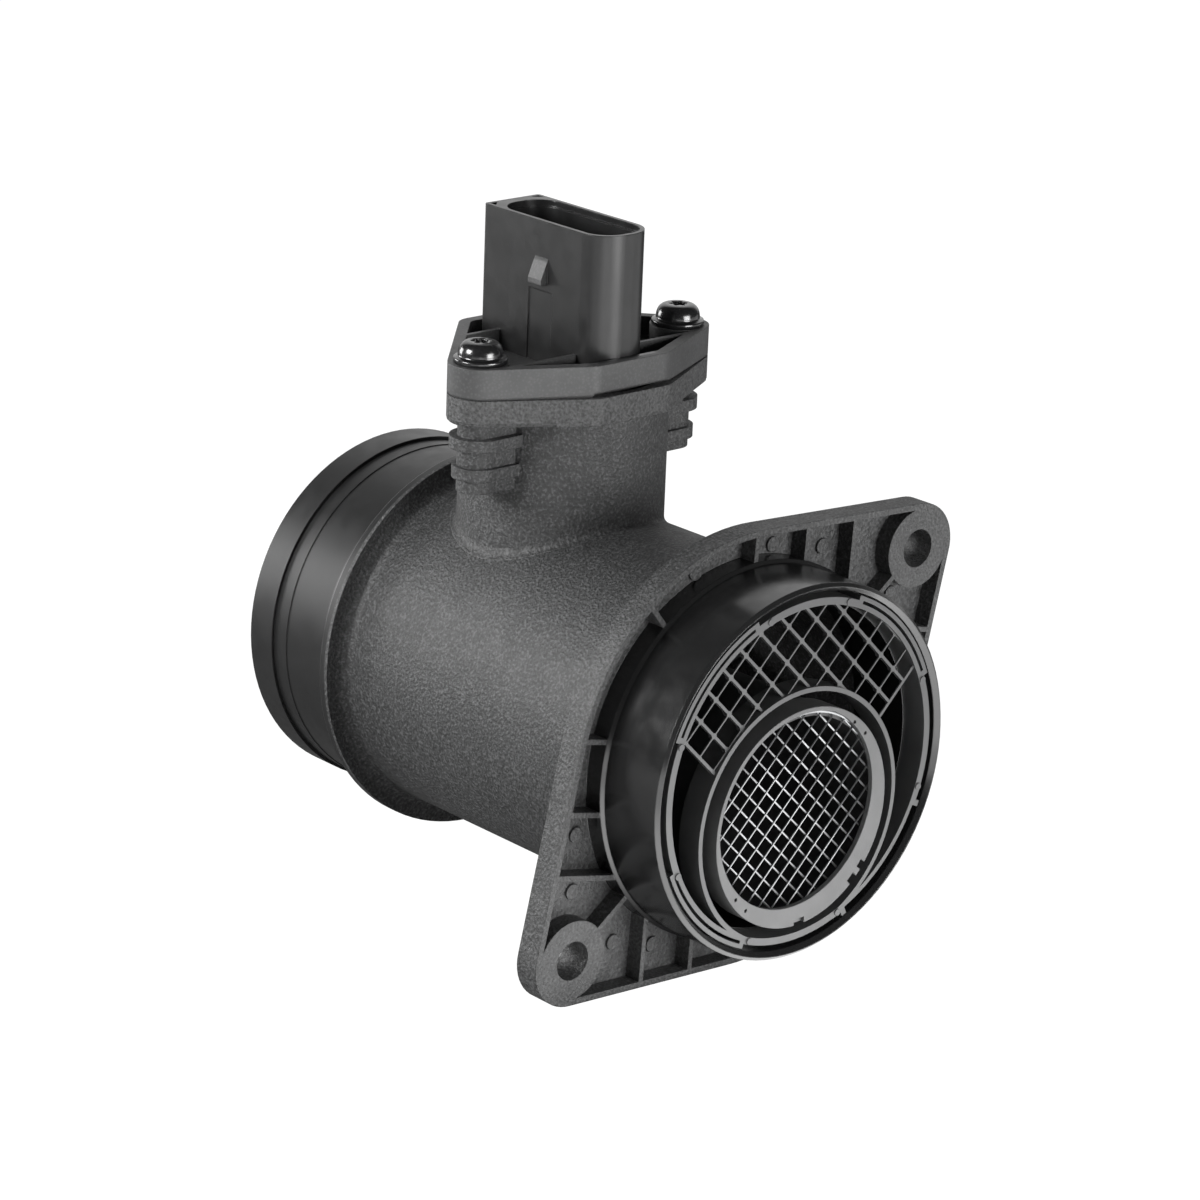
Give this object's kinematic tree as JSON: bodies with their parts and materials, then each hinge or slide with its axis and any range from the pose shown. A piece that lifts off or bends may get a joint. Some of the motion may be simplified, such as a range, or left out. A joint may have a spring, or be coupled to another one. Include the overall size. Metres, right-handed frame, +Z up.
{
  "type": "mass airflow sensor",
  "caption": "Hot-film mass airflow sensor: moulded air duct with a ribbed two-hole inlet flange, inlet grid, hose outlet and a plug-in sensor on a turret.",
  "frame": {"origin": "on the air duct's axis, in the front face of the inlet flange", "axes": "+X out of the inlet along the duct, +Y along the flange and the two sensor screws, +Z up the sensor turret"},
  "size_m": [0.1192, 0.0992, 0.1303],
  "materials": {
    "housing_plastic": "dark grey glass-filled plastic with a fine spark-eroded grain",
    "grid_plastic": "grey satin plastic",
    "inner_plastic": "black satin plastic",
    "screen_wire": "bright stainless wire",
    "screen_frame_metal": "fine-grained grey plastic",
    "head_plastic": "satin dark grey plastic",
    "seal_rubber": "black rubber",
    "terminal_brass": "tin-plated brass",
    "finger_plastic": "black satin plastic",
    "plate_aluminium": "bare sheet",
    "board_ceramic": "white alumina",
    "sensor_glass": "dark coated film",
    "probe_glass": "sealed bead on two leads",
    "screw_steel": "black coated steel"
  },
  "bodies": {
    "root": {"housing": "housing_plastic", "grid_insert": "grid_plastic", "flow_tube": "inner_plastic", "fine_screen": "screen_wire", "screen_frame": "screen_frame_metal", "connector_head": "head_plastic", "seal_ring": "seal_rubber", "terminal_1": "terminal_brass", "terminal_2": "terminal_brass", "terminal_3": "terminal_brass", "terminal_4": "terminal_brass", "terminal_5": "terminal_brass", "sensor_body": "finger_plastic", "base_plate": "plate_aluminium", "hybrid_board": "board_ceramic", "sensing_element": "sensor_glass", "channel_cover": "finger_plastic", "electronics_cover": "finger_plastic", "air_temperature_probe": "probe_glass", "head_screws": "screw_steel"}
  },
  "joints": []
}
